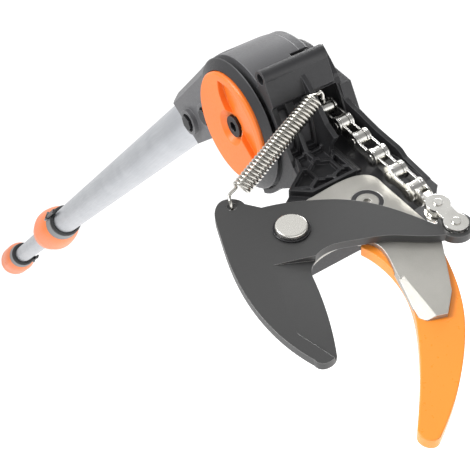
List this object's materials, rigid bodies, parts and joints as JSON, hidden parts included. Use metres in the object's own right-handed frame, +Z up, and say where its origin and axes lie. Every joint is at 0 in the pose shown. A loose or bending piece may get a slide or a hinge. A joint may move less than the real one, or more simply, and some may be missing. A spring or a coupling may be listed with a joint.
{
  "type": "telescoping pole pruner",
  "caption": "Long-reach bypass pruner: tilting hook-and-blade head on a telescoping pole, closed by a strap, a roller chain and a sliding bulb grip.",
  "frame": {"origin": "on the pole's axis, near the middle of the bare stretch of the outer tube, where the tool is held or hung", "axes": "+X along the pole towards the cutting head, +Y along the tilt hinge towards the far side, +Z up"},
  "size_m": [1.3792, 0.1188, 0.1864],
  "materials": {
    "tube_aluminium": "satin",
    "grey_nylon": "fine moulded",
    "black_nylon": "moulded",
    "black_steel": "black oxide",
    "white_acetal": "moulded",
    "orange_plastic": "satin moulded",
    "sleeve_plastic": "moulded",
    "ring_rubber": "matt",
    "strap_webbing": "woven",
    "plate_steel": "bead blasted",
    "hook_paint": "powder coated",
    "bright_steel": "satin",
    "spring_steel": "bright",
    "coated_steel": "low friction coating",
    "chain_steel": "nickel plated"
  },
  "bodies": {
    "pole": {"outer_tube": "tube_aluminium", "knuckle_near_shell": "grey_nylon", "knuckle_far_shell": "grey_nylon", "clamp_bolts": "black_steel", "clamp_nuts": "black_steel", "hinge_bolt": "black_steel", "hinge_nut": "black_steel", "hinge_washer": "black_steel", "roller_bush": "black_steel", "length_grip_near": "orange_plastic", "length_grip_far": "orange_plastic", "length_grip_sleeve": "sleeve_plastic", "length_grip_ring": "ring_rubber", "length_grip_bushing": "white_acetal", "length_lever_pin": "bright_steel"},
    "length_lever": {"length_lever": "black_nylon"},
    "pull_lever": {"pull_lever": "black_nylon"},
    "roller": {"strap_roller": "white_acetal"},
    "knob": {"lock_knob": "orange_plastic", "knob_rim": "black_nylon"},
    "extension": {"inner_tube": "tube_aluminium", "inner_tube_bushing": "white_acetal", "inner_tube_plug": "black_nylon"},
    "pull_grip": {"pull_grip_near": "orange_plastic", "pull_grip_far": "orange_plastic", "pull_grip_sleeve": "sleeve_plastic", "pull_grip_ring": "ring_rubber", "pull_grip_pin": "bright_steel", "pull_strap": "strap_webbing", "pull_lever_pin": "bright_steel"},
    "head": {"head_frame": "black_nylon", "counter_plate": "plate_steel", "hook_cover": "hook_paint", "plate_screw": "plate_steel", "plate_screw_ring": "black_nylon", "plate_screw_nut": "black_steel", "pivot_rivet": "bright_steel", "pivot_washer": "black_steel", "return_spring": "spring_steel"},
    "blade": {"cutting_blade": "coated_steel"},
    "chain": {"chain_outer_plates": "chain_steel", "chain_inner_plates": "chain_steel", "chain_rollers": "chain_steel", "chain_pins": "chain_steel", "strap_shackle": "chain_steel", "twisted_link": "chain_steel"},
    "end_link": {"end_link_plates": "chain_steel", "end_link_pins": "chain_steel"}
  },
  "joints": [
    {"name": "head_tilt", "type": "hinge", "parent": "pole", "child": "head", "pos_m": [0.4025, 0, -0.0233], "axis": [0, 1, 0], "range_deg": [-46.3, 43.7]},
    {"name": "knob_turn", "type": "hinge", "parent": "pole", "child": "knob", "pos_m": [0.4025, 0, -0.0233], "axis": [0, 1, 0], "range_deg": [0, 180]},
    {"name": "blade_close", "type": "hinge", "parent": "head", "child": "blade", "pos_m": [0.46473, -0.0572, -0.07684], "axis": [0.723, 0, 0.6909], "range_deg": [0, 36.5], "stiffness_Nm_per_rad": 0.6, "springref_deg": -17.19},
    {"name": "chain_pull", "type": "slide", "parent": "head", "child": "chain", "axis": [-0.6909, 0, 0.723], "range_m": [0, 0.0354]},
    {"name": "end_link_turn", "type": "hinge", "parent": "chain", "child": "end_link", "pos_m": [0.48152, -0.0001, -0.09441], "axis": [0.723, 0, 0.6909], "range_deg": [0, 56.5]},
    {"name": "roller_turn", "type": "hinge", "parent": "pole", "child": "roller", "pos_m": [0.4025, 0, -0.0233], "axis": [0, 1, 0], "range_deg": [-312, 0]},
    {"name": "extend", "type": "slide", "parent": "pole", "child": "extension", "axis": [-1, 0, 0], "range_m": [0, 0.4]},
    {"name": "pull", "type": "slide", "parent": "extension", "child": "pull_grip", "axis": [-1, 0, 0], "range_m": [0, 0.0354]},
    {"name": "length_lever_flip", "type": "hinge", "parent": "pole", "child": "length_lever", "pos_m": [-0.2715, -0.01386, 0.01386], "axis": [0, 0.7071, 0.7071], "range_deg": [-80, 0]},
    {"name": "pull_lever_flip", "type": "hinge", "parent": "pull_grip", "child": "pull_lever", "pos_m": [-0.7025, 0.01386, -0.01386], "axis": [0, -0.7071, -0.7071], "range_deg": [-80, 0]}
  ],
  "couplings": [
    {"joint": "chain_pull", "follows": "blade_close", "m_per_rad": 0.055569},
    {"joint": "end_link_turn", "follows": "blade_close", "ratio": 1.5469},
    {"joint": "roller_turn", "follows": "blade_close", "ratio": -7.7179},
    {"joint": "pull", "follows": "blade_close", "m_per_rad": 0.055569}
  ]
}
